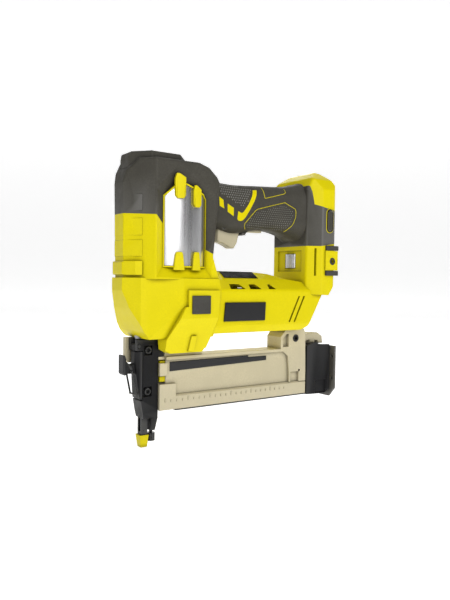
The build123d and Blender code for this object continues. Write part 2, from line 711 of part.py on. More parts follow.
# ---------------------------------------------------------------- electronics
def control_board():
    board = block((134, 176), (-12, 12), (240, 241.6))
    parts = block((140, 150), (-6, 4), (241.6, 246)) + block((156, 162), (-8, 8), (241.6, 244))
    parts += bar("Z", (168, 3), 4, 241.6, 250)
    return board + parts


def battery_liner():
    """The dark tray that lines the battery socket; open to the rear."""
    side = SOCKET_SIDE + LINER - 0.1
    outer = block((SOCKET_X - LINER + 0.1, FOOT_REAR_X - 0.3), (-side, side),
                  (SOCKET_LOW_Z - LINER + 0.1, SOCKET_HIGH_Z + LINER - 0.1))
    inner = block((SOCKET_X, 230), (-SOCKET_SIDE, SOCKET_SIDE), (SOCKET_LOW_Z, SOCKET_HIGH_Z))
    rails = block((SOCKET_X, FOOT_REAR_X - 4), (-SOCKET_SIDE, -SOCKET_SIDE + 3), (222, 226))
    return outer - inner + on_both(rails)


def battery_terminals():
    """The terminal block and the three flat contacts that meet the battery."""
    holder = block((SOCKET_X, SOCKET_X + 6), (-12, 12), (216, 236))
    blades = Part()
    for y in (-7, 0, 7):
        holder -= block((SOCKET_X - 1, SOCKET_X + 7), (y - 0.6, y + 0.6), (218, 234))
        blades += block((SOCKET_X + 0.1, SOCKET_X + 22), (y - 0.5, y + 0.5), (220, 232))
    return holder + blades


# ---------------------------------------------------------------- nose
def nose_casting():
    """The black cast nose: guides the blade and carries the contact element."""
    side = [(NOSE_FACE_X, NOSE_TOP_Z), (NOSE_FACE_X, 46.3), (-6, 45.5), (-3, NOSE_BOTTOM_Z),
            (5.2, NOSE_BOTTOM_Z), (5.4, 15.8), (10.5, 15.8), (12.3, 28), (11.7, 36), (11.7, NOSE_TOP_Z)]
    body = prism(side, "Y", -NOSE_SIDE, NOSE_SIDE)
    body &= prism([(-NOSE_SIDE, 120), (-NOSE_SIDE, 34), (-6, 15), (6, 15), (NOSE_SIDE, 34), (NOSE_SIDE, 120)],
                  "X", -20, 20)
    ears = block((-10.6, NOSE_FACE_X), (-NOSE_SIDE, NOSE_SIDE), (92.8, NOSE_TOP_Z))
    ears -= block((-12, NOSE_FACE_X - 0.3), (-4.4, 4.4), (90, 110)) + bar("Y", DOOR_HINGE, 1.5, -10, 10)
    tabs = block((11.7, 17.2), (-NOSE_SIDE, NOSE_SIDE), (86, NOSE_TOP_Z))
    body += ears + tabs
    body -= block((-2, 2), (-1.2, 1.2), (10, 110))
    body -= block((-9.1, -3.0), (-6.5, 6.5), (50, 88))
    body -= on_both(block((-3.3, 3.7), (FORK_Y[0] - 0.3, FORK_Y[1] + 0.3), (15, 50)))
    for x, z in NOSE_SCREWS:
        body -= block((x - 4.5, x + 4), (-12, -6.2), (z - 4.5, z + 4.5)) + bar("Y", (x, z), 1.95, -10, -1.7)
    return body - bar("Z", (DEPTH_X, 0), 1.6, 10, 36)


def nose_screws():
    screws = Part()
    for x, z in NOSE_SCREWS:
        screws += screw_shape((x, z), -6.2, -1, 4.4, 3.2, 2.6, 1.9)
    return screws


def nose_door():
    """The hinged front plate of the nose that opens to clear a jam."""
    gap = 0.3
    front = NOSE_FACE_X - gap
    plan = both_sides([(front, -8.6), (-7.4, -7.8), (-10.6, -4)])
    side = [(front, 92), (front, 46.9), (-6.8, 46.9), (-8.8, 64), (-10.6, 82), (-10.6, 92)]
    plate = prism(plan, "Z", 40, 92) & prism(side, "Y", -20, 20)
    knuckle = bar("Y", DOOR_HINGE, 2.4, -4.0, 4.0) + block((-10.4, -5.6), (-4, 4), (90, DOOR_HINGE[1]))
    x, z = LEVER_HINGE
    lug = prism([(-9, z + 4), (x - 1.8, z + 2), (x - 1.8, z - 2), (-9, z - 6)], "Y", -3.6, 3.6)
    plate += knuckle + lug
    return plate - bar("Y", DOOR_HINGE, 1.55, -9, 9) - bar("Y", LEVER_HINGE, 1.05, -9, 9)


def door_pin():
    return bar("Y", DOOR_HINGE, 1.5, -8.6, 8.6)


def jam_lever():
    """The finger lever that releases the door."""
    x, z = LEVER_HINGE
    side = [(-19.4, 71), (-19.4, 85), (-20.6, 89), (-22.8, 89), (-22.8, 72), (-21, 70)]
    plate = prism(side, "Y", -LEVER_SIDE, LEVER_SIDE)
    cheek = prism([(-20.5, 84), (x + 2, z + 2.4), (-12.6, z - 2), (-12.6, 71.4), (-20.5, 71.8)], "Y",
                  -LEVER_SIDE, -3.9)
    pin = bar("Y", LEVER_HINGE, 1.0, -4.2, 4.2)
    return plate + on_both(cheek) + pin - bar("Y", BAIL_HINGE, 1.0, -9, 9)


def wire_bail():
    """The bent wire from the lever to the foot of the door."""
    x, top = BAIL_HINGE
    gauge = 0.9
    side = LEVER_SIDE + 0.3 + gauge
    foot_x, foot_z = -9.9, 51.5
    lean = math.degrees(math.atan2(foot_x - x, top - foot_z))
    length = math.hypot(foot_x - x, top - foot_z)
    leg = Cylinder(gauge, length + 2 * gauge)
    leg = Pos(x, -side, top) * Rot(0, -lean, 0) * Pos(0, 0, -length / 2) * leg
    pivot = bar("Y", (x, top), gauge, -side - 0.6, -4.2)
    foot = bar("Y", (foot_x, foot_z), gauge, -side - 0.6, side + 0.6)
    return on_both(leg + pivot) + foot


def guide_block():
    """The pale flange beside the nose on the right, under the front of the block."""
    return prism([(-14, 104.2), (-14, 84), (-11, 80), (4, 80), (8, 84), (8, 104.2)], "Y", 9.3, 14.5)


def contact_element():
    """The steel fork that must be pressed against the work before the tool fires."""
    arm = block((-3, 3.4), FORK_Y, (9, 36))
    bridge = block((-3, 3.4), (-FORK_Y[1], FORK_Y[1]), (9, 15)) - block((-2.2, 2.2), (-1.4, 1.4), (5, 20))
    return on_both(arm) + bridge


def contact_springs():
    """Plain envelopes of the two springs that push the fork out."""
    spring = bar("Z", (0, 3.1), 1.1, 36.2, 49.8) - bar("Z", (0, 3.1), 0.6, 36, 50)
    return on_both(spring)


def nose_pad():
    """The soft no-mar pad on the contact element; the brad leaves through its round hole."""
    low = make_face(Polyline((-3.3, -3.8), (3.5, -3.8), (3.5, 3.8), (-3.3, 3.8), close=True))
    high = Pos(0, 0, 12) * make_face(Polyline((-5, -5.2), (4.6, -5.2), (4.6, 5.2), (-5, 5.2), close=True))
    body = loft([low, high], ruled=True)
    body -= block((-3.05, 3.45), (-FORK_Y[1] - 0.05, FORK_Y[1] + 0.05), (8.95, 20))
    return body - bar("Z", (0, 0), EXIT_RADIUS, -1, 10)


def depth_wheel():
    """The knurled wheel that sets how far the contact element stands out."""
    wheel = bar("Z", (DEPTH_X, 0), DEPTH_RADIUS, 5.0, 12.6)
    for index in range(14):
        angle = math.radians(index * 360 / 14)
        centre = (DEPTH_X + DEPTH_RADIUS * math.cos(angle), DEPTH_RADIUS * math.sin(angle))
        wheel -= bar("Z", centre, 0.4, 4, 16)
    shaft = bar("Z", (DEPTH_X, 0), 1.55, 12.6, 34)
    return wheel + shaft


# ---------------------------------------------------------------- magazine
def magazine_body():
    """The fixed cast body: web, ruled ridge, front block and rear bracket."""
    web = block((MAG_FRONT_X, MAG_REAR_X), (-MAG_WEB, MAG_WEB), (MAG_BOTTOM_Z, MAG_TOP_Z))
    ridge = prism([(-MAG_SIDE, MAG_BOTTOM_Z), (-MAG_SIDE, MAG_RIDGE_Z - 1.5), (-MAG_SIDE + 1.5, MAG_RIDGE_Z),
                   (MAG_SIDE - 1.5, MAG_RIDGE_Z), (MAG_SIDE, MAG_RIDGE_Z - 1.5), (MAG_SIDE, MAG_BOTTOM_Z)],
                  "X", MAG_FRONT_X, MAG_REAR_X - 1)
    front = block((MAG_FRONT_X, 29.7), (-MAG_SIDE, MAG_SIDE), (MAG_BOTTOM_Z, 59.8))
    flange = block((MAG_FRONT_X + 7, 170), (-MAG_SIDE, MAG_SIDE), (MAG_TOP_Z - 3, MAG_TOP_Z))
    tongue = block((18, 60), (-10, 10), (MAG_TOP_Z, 100))
    bracket_line = [(160, MAG_TOP_Z), (160, 99), (167, 107), (193, 107), (195, 102), (196, 60), (172, 60),
                    (170, 78)]
    bracket = prism(bracket_line, "Y", -MAG_SIDE, MAG_SIDE)
    foot = block((172, 196), (-MAG_SIDE, MAG_SIDE), (49, 60)) - on_both(block((174, 186), (-14, -MAG_WEB),
                                                                             (49, 66)))
    body = web + ridge + front + flange + tongue + bracket + foot
    body -= block((0, 205), (-CHANNEL, CHANNEL), (20, CHANNEL_TOP_Z))
    body -= block((MAG_FRONT_X - 1, 19.5), (-MAG_SIDE - 1, -4.5), (60, 83.2))
    body += block((MAG_FRONT_X, 20), (-MAG_SIDE, -9), (68, 80))
    body -= on_both(prism([(163, 88), (163, 97), (168, 102), (171, 102), (171, 88)], "Y", -14, -8))
    body -= bar("Y", BRACKET_SCREW, 2.05, -16, 16) + bar("Y", BRACKET_SCREW, 4.2, -16, -9.4)
    body -= bar("Y", BRACKET_SCREW, 4.2, 9.4, 16) + bar("Y", (186.7, 61.2), 1.3, -16, -6)
    return body


def bracket_screws():
    """Two socket screws that hold the magazine bracket to the lugs of the motor housing."""
    left = screw_shape(BRACKET_SCREW, -9.4, -1, 8.2, 4.0, 2.9, 2.0)
    return left + to_right(left)


def spare_pad():
    """The spare no-mar pad stored in the magazine's front pocket."""
    body = block((13.5, 19.3), (-8.6, -4.6), (62, 82))
    return body - block((12, 18), (-9, -5.6), (67, 76))


def slide_rail():
    """The rail that carries the brads; it slides out with the rear block."""
    rail = block((MAG_FRONT_X + 1, REAR_BLOCK_X), (-RAIL, -0.2), (33.8, 82.6))
    ledge = block((MAG_FRONT_X + 1, REAR_BLOCK_X), (-0.2, RAIL), (33.8, 36))
    sole = block((30, REAR_BLOCK_X), (-11, 11), (MAG_BOTTOM_Z - 1.6, MAG_BOTTOM_Z - FIT))
    return rail + ledge + sole


def rear_block():
    """The black block at the rear end of the rail, with the pocket for the latch."""
    side = [(REAR_BLOCK_X, 33), (REAR_BLOCK_X, 88), (207, 91), (214, 91), (214, 88), (PLATE_X, 88),
            (PLATE_X, 36), (224, 32)]
    body = prism(side, "Y", -13, 13)
    body -= on_both(block((210, 226), (-14, -11.5), (33.5, 48)))
    body -= block((204, 233), (-6.6, 6.6), (84.5, 95))
    return body + bar("Y", LATCH_HINGE, 1.5, -8, 8)


def rear_plate():
    """The flange plate at the very rear."""
    outline = [(-12, 28), (-20.5, 38), (-20.5, 86.5), (20.5, 86.5), (20.5, 38), (12, 28)]
    plate = prism(outline, "X", PLATE_X, PLATE_X + PLATE_THICK)
    for z in (74.5, 49.7):
        plate -= on_both(bar("X", (-16.5, z), 1.7, PLATE_X - 1, PLATE_X + 0.6 * PLATE_THICK))
    return plate


def magazine_latch():
    """The pale ribbed latch on the rear block."""
    side = [(195.8, 90), (195.8, 95.5), (199, 99), (206, 101.5), (219, 101.5), (226, 97), (227, 89),
            (221, 89), (219, 92.5), (205, 93.5), (200, 92)]
    body = prism(side, "Y", -6.2, 6.2)
    knuckle = block((207.5, 214.5), (-6.2, 6.2), (86.2, 94))
    for x in (202, 205.5, 209, 212.5, 216):
        body -= block((x, x + 1.4), (-7, 7), (100.6, 103))
    return body + knuckle - bar("Y", LATCH_HINGE, 1.6, -9, 9)


def pusher():
    """The sliding pusher that feeds brads towards the nose."""
    return block((20, 34), (0.1, RAIL), (36.4, 82))


def pusher_spring():
    """A plain envelope of the feed spring along the rail."""
    spring = block((34.2, 196.8), (0.2, 1.6), (58, 60))
    return spring - block((34, 197), (0.6, 1.2), (58.6, 59.4))


# ---------------------------------------------------------------- trim
def side_pad():
    """The square rubber pad on the left boss."""
    line = [(30.6, 128), (30.6, 145), (50.8, 145), (50.8, 128)]
    return prism(line, "Y", -PAD_SIDE - 1.2, -PAD_SIDE - 0.05)


def side_badge():
    """The blank dark plate on the left of the motor housing."""
    line = [(71, 119.6), (72.6, 138), (122.4, 138), (121.6, 119.6)]
    return prism(line, "Y", -MOTOR_SIDE - 1.3, -MOTOR_SIDE - 0.05)


def data_label():
    under, over = 0.05, 0.5
    edge_z = 162.0
    line = [(-18.5, edge_z + under), (-8, MOTOR_TOP_Z + under), (8, MOTOR_TOP_Z + under),
            (18.5, edge_z + under), (18.5, edge_z + over), (8, MOTOR_TOP_Z + over), (-8, MOTOR_TOP_Z + over),
            (-18.5, edge_z + over)]
    return prism(line, "X", 80, 122)


def magazine_label():
    """The dark strip on the magazine's left web."""
    line = [(24, 71.5), (24, 80.6), (118, 81.4), (118, 79.6), (142, 79.6), (142, 75)]
    return prism(line, "Y", -MAG_WEB - 0.5, -MAG_WEB - 0.05)


def foot_badge():
    """The blank pill-shaped plate on the foot's left side."""
    plane = Plane(origin=(204, -FOOT_SIDE - 0.05, 225.5), x_dir=(1, 0, 0), z_dir=(0, -1, 0))
    return extrude(plane * SlotCenterToCenter(16, 9, rotation=90), amount=0.9)


def foot_tabs():
    """Four dark bumpers at the rear of the foot, above and below the side blocks."""
    tabs = Part()
    for low, high in ((193.6, 198.6), (166.4, 171.6)):
        tabs += block((198, 216), (-FOOT_SIDE - 2.2, -FOOT_SIDE + 5), (low, high)) - foot_form(-0.05)
    return on_both(tabs)


def blank_plates():
    """The blank badges and labels: two side badges, the top label, magazine strip and foot badges."""
    return on_both(side_badge() + foot_badge()) + data_label() + magazine_label()


def rubber_pads():
    """The soft pads of the two sides: the square pads of the block and the bumpers of the foot."""
    return on_both(side_pad()) + foot_tabs()


def hook_block():
    """The bright side block between the bumpers, where a belt hook can be screwed on."""
    return block((197.5, 215.5), (-FOOT_SIDE - 1.6, -FOOT_SIDE + 5), (172, 193.2))


def hook_hole():
    """The blind screw hole of the belt hook."""
    return bar("Y", HOOK_HOLE, 2.0, -60, -FOOT_SIDE + 4)


def build_parts():
    """Every node of the model by name."""
    shell = yellow_shell()
    skin = grip_skin()
    cover = cylinder_cover()
    frame = cover_frame()
    parts = {
        "left_housing": half_of(shell, -1),
        "right_housing": half_of(shell, 1),
        "left_grip": half_of(skin, -1),
        "right_grip": half_of(skin, 1),
        "left_cylinder_cover": cover,
        "right_cylinder_cover": to_right(cover),
        "left_cover_frame": frame,
        "right_cover_frame": to_right(frame),
    }
    single_pieces = [
        head_cover, top_lid, foot_crown, housing_screws, rubber_pads, blank_plates,
        trigger, trigger_pin, trigger_spring, switches, light_button, pressure_dial,
        motor_can, motor_rotor, motor_magnets, motor_bearing, gearbox, planet_carrier, crank_wheel,
        pump_cylinder, pump_piston, piston_ring, wrist_pin, connecting_rod,
        drive_cylinder, cylinder_head, drive_piston, driver_blade, bumper,
        control_board, battery_liner, battery_terminals,
        nose_casting, nose_screws, nose_door, door_pin, jam_lever, wire_bail, guide_block,
        contact_element, contact_springs, nose_pad, depth_wheel,
        magazine_body, bracket_screws, spare_pad, slide_rail, rear_block, rear_plate,
        magazine_latch, pusher, pusher_spring,
    ]
    for piece in single_pieces:
        parts[piece.__name__] = piece()
    return parts


def main():
    os.makedirs("parts", exist_ok=True)
    for name, piece in build_parts().items():
        export_step(piece, f"parts/{name}.step")


main()
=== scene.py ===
"""Looks for the cordless brad nailer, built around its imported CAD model.

Lengths are in metres, in the CAD model's frame: +Z up, the nose at the origin, the magazine along +X.
"""
import json
import math

import bmesh
import bpy
from mathutils import Matrix, Vector
from mathutils.bvhtree import BVHTree


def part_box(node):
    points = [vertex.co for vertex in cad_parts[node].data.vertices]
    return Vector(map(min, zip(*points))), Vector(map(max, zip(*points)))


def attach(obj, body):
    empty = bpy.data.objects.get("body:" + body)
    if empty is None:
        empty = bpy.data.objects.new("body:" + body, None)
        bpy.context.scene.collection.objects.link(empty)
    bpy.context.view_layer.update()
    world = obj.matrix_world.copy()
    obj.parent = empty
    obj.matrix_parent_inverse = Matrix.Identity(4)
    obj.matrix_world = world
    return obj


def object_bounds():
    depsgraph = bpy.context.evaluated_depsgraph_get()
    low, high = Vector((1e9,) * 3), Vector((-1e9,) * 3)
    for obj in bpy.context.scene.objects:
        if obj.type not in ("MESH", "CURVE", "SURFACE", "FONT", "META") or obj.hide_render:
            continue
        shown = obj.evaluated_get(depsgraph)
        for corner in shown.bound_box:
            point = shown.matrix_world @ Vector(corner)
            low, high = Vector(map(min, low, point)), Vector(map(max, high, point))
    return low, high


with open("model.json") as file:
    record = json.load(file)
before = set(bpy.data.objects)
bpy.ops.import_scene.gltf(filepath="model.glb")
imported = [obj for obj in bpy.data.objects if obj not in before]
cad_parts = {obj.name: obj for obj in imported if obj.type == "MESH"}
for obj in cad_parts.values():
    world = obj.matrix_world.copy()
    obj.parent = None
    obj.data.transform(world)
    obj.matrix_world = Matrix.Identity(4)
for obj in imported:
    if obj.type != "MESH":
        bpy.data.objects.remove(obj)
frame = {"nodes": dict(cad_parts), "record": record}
cad_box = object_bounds()

MM = 0.001

# ---------------------------------------------------------------- camera, floor and lights
CAMERA_PLACE = (-0.2581, -0.5120, 0.1599)
CAMERA_TURN = math.radians(-34.5)
CAMERA_PITCH = math.radians(1.9)
CAMERA_ROLL = math.radians(0.8)
LENS = 36.0

# ---------------------------------------------------------------- colours, as linear RGB
YELLOW = (0.73, 0.62, 0.003)
DEEP_YELLOW = (0.66, 0.56, 0.003)
WARM_GREY = (0.060, 0.056, 0.045)
# The grip rubber made lighter for the studs: a painted highlight.
STUD_HIGHLIGHT_GREY = (0.115, 0.109, 0.090)
PAINT_GREY = (0.085, 0.080, 0.070)
PAD_GREY = (0.050, 0.047, 0.040)
GLOSS_BLACK = (0.008, 0.008, 0.009)
DARK_PLASTIC = (0.018, 0.018, 0.018)
SAND = (0.56, 0.50, 0.34)
SAND_PLASTIC = (0.50, 0.45, 0.31)
CAST_BLACK = (0.011, 0.011, 0.012)
SCREW_BLACK = (0.012, 0.012, 0.012)
SILVER = (0.86, 0.86, 0.87)
GROUND_STEEL = (0.50, 0.50, 0.51)

# ---------------------------------------------------------------- materials
# How strongly a finish reflects, where it isn't metal.
DEFAULT_GLOSS = 0.3
GLOSS = {"housing_plastic": 0.1, "pad_yellow": 0.12, "black_cast": 0.14, "grip_rubber": 0.22,
         "sand_cast": 0.2, "dark_plastic": 0.14}
BEVEL_RADIUS = 0.6 * MM
# Painted shade: gaps and inner corners are darkened a little in the colour, over this distance and by this
# share.
GAP_REACH = 5 * MM
GAP_SHADE = 0.8
GAP_RANGE = (0.35, 0.95)
PAINTED_SHADE_COLOUR = 0.25
# Noise features per metre: broad blotches, fine speckle and the gloss smears.
CLOUD_SCALE = 38.0
SPECKLE_SCALE = 700.0
SMEAR_SCALE = 160.0
GRAIN_STRENGTH = 0.6
# Painted highlight: the pointiness over which an edge is painted brighter, and how much is added to its
# colour at most.
EDGE_POINTINESS = (0.52, 0.60)
EDGE_HIGHLIGHT_GAIN = 0.25
# Each finish: colour, roughness, metal share, mottle (colour spread), grain (bumps per metre, height in m),
# edge highlight (how much pointy edges are painted brighter, a painted highlight), and stretch (the
# direction a drawn or ground finish runs in, or None).
FINISHES = {
    "housing_plastic": (YELLOW, 0.36, 0.0, 0.05, (2600, 0.00002), 0.02, None),
    "grip_rubber": (WARM_GREY, 0.60, 0.0, 0.18, (1700, 0.00010), 0.30, None),
    "pad_rubber": (PAD_GREY, 0.70, 0.0, 0.16, (1500, 0.00006), 0.05, None),
    "plate_plastic": (GLOSS_BLACK, 0.16, 0.0, 0.10, (900, 0.000008), 0.04, None),
    "dark_plastic": (DARK_PLASTIC, 0.50, 0.0, 0.15, (2000, 0.00004), 0.01, None),
    "sand_plastic": (SAND_PLASTIC, 0.42, 0.0, 0.05, (2400, 0.00002), 0.06, None),
    "cover_metal": (SILVER, 0.30, 1.0, 0.05, (1400, 0.00001), 0.05, (1.0, 1.0, 0.02)),
    "sand_cast": (SAND, 0.44, 0.0, 0.07, (1300, 0.00005), 0.08, None),
    "black_cast": (CAST_BLACK, 0.40, 0.0, 0.25, (1200, 0.00007), 0.20, None),
    "black_steel": (SCREW_BLACK, 0.30, 0.4, 0.20, (1800, 0.00003), 0.20, None),
    "steel": (GROUND_STEEL, 0.30, 1.0, 0.08, (1500, 0.00001), 0.10, (0.03, 1.0, 1.0)),
    "motor_steel": (GROUND_STEEL, 0.36, 1.0, 0.08, (1500, 0.00001), 0.10, (0.03, 1.0, 1.0)),
    "magnet": ((0.10, 0.10, 0.11), 0.50, 0.6, 0.15, (1500, 0.00003), 0.05, None),
    "cast_aluminium": ((0.55, 0.55, 0.56), 0.45, 1.0, 0.10, (1200, 0.00005), 0.10, None),
    "ring_plastic": ((0.70, 0.66, 0.55), 0.45, 0.0, 0.05, (2000, 0.00002), 0.05, None),
    "board": ((0.02, 0.16, 0.06), 0.35, 0.0, 0.12, (900, 0.00002), 0.05, None),
    "contact_brass": ((0.72, 0.52, 0.22), 0.28, 1.0, 0.08, (1500, 0.00001), 0.10, (1.0, 0.05, 1.0)),
    "pad_yellow": (DEEP_YELLOW, 0.42, 0.0, 0.05, (2200, 0.00003), 0.01, None),
}


def scaled(colour, factor):
    return tuple(min(1.0, part * factor) for part in colour) + (1.0,)


def new_node(tree, kind, **settings):
    """Add a node and set its plain properties."""
    node = tree.nodes.new(kind)
    for name, value in settings.items():
        setattr(node, name, value)
    return node


def noise(tree, place, scale, detail=3.0):
    node = new_node(tree, "ShaderNodeTexNoise")
    node.inputs["Scale"].default_value = scale
    node.inputs["Detail"].default_value = detail
    tree.links.new(place, node.inputs["Vector"])
    return node.outputs["Fac"]


def ranged(tree, value, low, high, start=0.3, end=0.7):
    """Map a texture value from start..end onto low..high."""
    node = new_node(tree, "ShaderNodeMapRange")
    node.inputs["From Min"].default_value = start
    node.inputs["From Max"].default_value = end
    node.inputs["To Min"].default_value = low
    node.inputs["To Max"].default_value = high
    tree.links.new(value, node.inputs["Value"])
    return node.outputs["Result"]


def mixed(tree, factor, first, second):
    """Mix two colours, each a colour or a socket, by a factor socket."""
    node = new_node(tree, "ShaderNodeMix", data_type="RGBA")
    tree.links.new(factor, node.inputs[0])
    for socket, colour in ((node.inputs[6], first), (node.inputs[7], second)):
        if isinstance(colour, bpy.types.NodeSocket):
            tree.links.new(colour, socket)
        else:
            socket.default_value = colour
    return node.outputs[2]


def mottled_tone(tree, place, colour, mottle, edge_highlight):
    """A blotchy, lightly speckled colour with a painted highlight on edges and painted shade in gaps."""
    cloud = ranged(tree, noise(tree, place, CLOUD_SCALE), 0.0, 1.0)
    speckle = ranged(tree, noise(tree, place, SPECKLE_SCALE), 0.0, 1.0)
    broad = mixed(tree, cloud, scaled(colour, 1 - mottle), scaled(colour, 1 + mottle))
    tone = mixed(tree, speckle, scaled(colour, 1 - mottle), broad)
    # Painted highlight: pointy edges are lightened in the colour.
    edge = new_node(tree, "ShaderNodeNewGeometry").outputs["Pointiness"]
    edge = ranged(tree, edge, 0.0, edge_highlight, *EDGE_POINTINESS)
    tone = mixed(tree, edge, tone, tuple(part + EDGE_HIGHLIGHT_GAIN for part in colour) + (1.0,))
    # Painted shade: the colour is darkened where ambient occlusion finds gaps and inner corners.
    nearness = new_node(tree, "ShaderNodeAmbientOcclusion", samples=6)
    nearness.inputs["Distance"].default_value = GAP_REACH
    painted_shade = ranged(tree, nearness.outputs["AO"], GAP_SHADE, 0.0, *GAP_RANGE)
    return mixed(tree, painted_shade, tone, scaled(colour, PAINTED_SHADE_COLOUR))


def fine_grain(tree, place, scale, height):
    """A normal with softly rounded edges and a fine grain of a height in metres."""
    round_edge = new_node(tree, "ShaderNodeBevel", samples=4)
    round_edge.inputs["Radius"].default_value = BEVEL_RADIUS
    bump = new_node(tree, "ShaderNodeBump")
    tree.links.new(round_edge.outputs["Normal"], bump.inputs["Normal"])
    bump.inputs["Strength"].default_value = GRAIN_STRENGTH
    bump.inputs["Distance"].default_value = height
    tree.links.new(noise(tree, place, scale, 2.0), bump.inputs["Height"])
    return bump.outputs["Normal"]


def finish_material(name, colour, roughness, metal, mottle, grain, edge_highlight, stretch):
    """A procedural finish: mottled colour with a painted highlight on edges and painted shade in gaps,
    uneven roughness and a fine grain.
    """
    material = bpy.data.materials.new(name)
    material.use_nodes = True
    tree = material.node_tree
    shader = tree.nodes["Principled BSDF"]
    shader.inputs["Metallic"].default_value = metal
    shader.inputs["Specular IOR Level"].default_value = GLOSS.get(name, DEFAULT_GLOSS)
    place = new_node(tree, "ShaderNodeTexCoord").outputs["Object"]
    grain_place = place
    if stretch:
        mapping = new_node(tree, "ShaderNodeMapping")
        mapping.inputs["Scale"].default_value = stretch
        tree.links.new(place, mapping.inputs["Vector"])
        grain_place = mapping.outputs["Vector"]
    tree.links.new(mottled_tone(tree, place, colour, mottle, edge_highlight), shader.inputs["Base Color"])
    smear = noise(tree, grain_place, SMEAR_SCALE, 4.0)
    tree.links.new(ranged(tree, smear, roughness * 0.85, roughness * 1.2), shader.inputs["Roughness"])
    tree.links.new(fine_grain(tree, grain_place, *grain), shader.inputs["Normal"])
    return material


def make_materials():
    """Every finish by its slot's name, and the two lighter variants: the grip rubber lightened as a painted
    highlight for the studs, and plate paint.
    """
    made = {slot: finish_material(slot, *values) for slot, values in FINISHES.items()}
    made["grip_stud_highlight"] = finish_material("grip_stud_highlight", STUD_HIGHLIGHT_GREY, *FINISHES["grip_rubber"][1:])
    made["plate_paint"] = finish_material("plate_paint", PAINT_GREY, *FINISHES["black_cast"][1:])
    return made


MATERIALS = make_materials()


# ---------------------------------------------------------------- softening the CAD nodes
# Edge rounding in mm for the nodes that get real rounded edges; the rest have them in the CAD or are hidden.
ROUNDING = {
    "trigger": 0.7, "rear_block": 0.6, "rear_plate": 0.5, "nose_casting": 0.4, "nose_door": 0.4,
    "jam_lever": 0.5, "magazine_latch": 0.5, "nose_pad": 0.6, "blank_plates": 0.25,
    "rubber_pads": 0.5, "guide_block": 0.4, "top_lid": 0.6, "light_button": 0.4,
}
# Nodes that show a variant of their slot's finish.
VARIANTS = {"rear_plate": "plate_paint"}
WELD_GAP = 0.01 * MM
FLAT_ANGLE = math.radians(0.5)
CREASE_ANGLE = math.radians(5)
SMOOTH_ANGLE = math.radians(30)


def start_group(name):
    """An empty geometry node group with its input and output nodes."""
    group = bpy.data.node_groups.new(name, "GeometryNodeTree")
    group.interface.new_socket("Geometry", in_out="INPUT", socket_type="NodeSocketGeometry")
    group.interface.new_socket("Geometry", in_out="OUTPUT", socket_type="NodeSocketGeometry")
    return group, new_node(group, "NodeGroupInput"), new_node(group, "NodeGroupOutput")


def stored(group, geometry, name, kind, value):
    """Store a value on the edges of a geometry."""
    node = new_node(group, "GeometryNodeStoreNamedAttribute", data_type=kind, domain="EDGE")
    node.inputs["Name"].default_value = name
    group.links.new(geometry, node.inputs["Geometry"])
    group.links.new(value, node.inputs["Value"])
    return node.outputs["Geometry"]


def compared(group, value, operation, limit, kind="FLOAT"):
    node = new_node(group, "FunctionNodeCompare", data_type=kind, operation=operation)
    first, second = [socket for socket in node.inputs if socket.enabled][:2]
    second.default_value = limit
    group.links.new(value, first)
    return node.outputs["Result"]


def shaded(group, geometry, sharp):
    """Shade every face smooth and keep the edges in a selection sharp."""
    plain = new_node(group, "GeometryNodeRemoveAttribute")
    plain.inputs["Name"].default_value = "custom_normal"
    faces = new_node(group, "GeometryNodeSetShadeSmooth", domain="FACE")
    group.links.new(geometry, plain.inputs["Geometry"])
    group.links.new(plain.outputs["Geometry"], faces.inputs["Geometry"])
    return stored(group, faces.outputs["Geometry"], "sharp_edge", "BOOLEAN", sharp)


def joined_group():
    """Join the CAD faces and mark the creases between them, to be rounded and kept sharp."""
    group, start, end = start_group("JoinFaces")
    neighbours = new_node(group, "GeometryNodeInputMeshEdgeNeighbors").outputs["Face Count"]
    border = compared(group, neighbours, "EQUAL", 1, "INT")
    marked = stored(group, start.outputs[0], "face_border", "FLOAT", border)
    weld = new_node(group, "GeometryNodeMergeByDistance")
    weld.inputs["Distance"].default_value = WELD_GAP
    group.links.new(marked, weld.inputs["Geometry"])
    angle = new_node(group, "GeometryNodeInputMeshEdgeAngle").outputs["Unsigned Angle"]
    steep = compared(group, angle, "GREATER_THAN", CREASE_ANGLE)
    border = new_node(group, "GeometryNodeInputNamedAttribute", data_type="FLOAT")
    border.inputs["Name"].default_value = "face_border"
    crease = new_node(group, "FunctionNodeBooleanMath", operation="AND")
    group.links.new(steep, crease.inputs[0])
    group.links.new(compared(group, border.outputs["Attribute"], "GREATER_THAN", 0.1), crease.inputs[1])
    crease = crease.outputs["Boolean"]
    weighted = stored(group, weld.outputs["Geometry"], "bevel_weight_edge", "FLOAT", crease)
    group.links.new(shaded(group, weighted, crease), end.inputs[0])
    return group


def smooth_group():
    """Shade faces smooth and keep edges sharp above an angle."""
    group, start, end = start_group("SmoothShade")
    angle = new_node(group, "GeometryNodeInputMeshEdgeAngle").outputs["Unsigned Angle"]
    steep = compared(group, angle, "GREATER_THAN", SMOOTH_ANGLE)
    group.links.new(shaded(group, start.outputs[0], steep), end.inputs[0])
    return group


JOIN = joined_group()
SMOOTH = smooth_group()


def soften(obj, rounding):
    """Shade an object by its CAD faces and, if rounding is given, round its creases by that many mm."""
    flat = obj.modifiers.new("Flat", "DECIMATE")
    flat.decimate_type = "DISSOLVE"
    flat.angle_limit = FLAT_ANGLE
    obj.modifiers.new("Join", "NODES").node_group = JOIN
    if rounding:
        bevel = obj.modifiers.new("Rounding", "BEVEL")
        bevel.width = rounding * MM
        bevel.segments = 2
        bevel.limit_method = "WEIGHT"
        bevel.use_clamp_overlap = False
    even = obj.modifiers.new("Even", "WEIGHTED_NORMAL")
    even.keep_sharp = True
    even.weight = 90


def shade(obj):
    """Add the smooth shading group to an object."""
    obj.modifiers.new("Shade", "NODES").node_group = SMOOTH


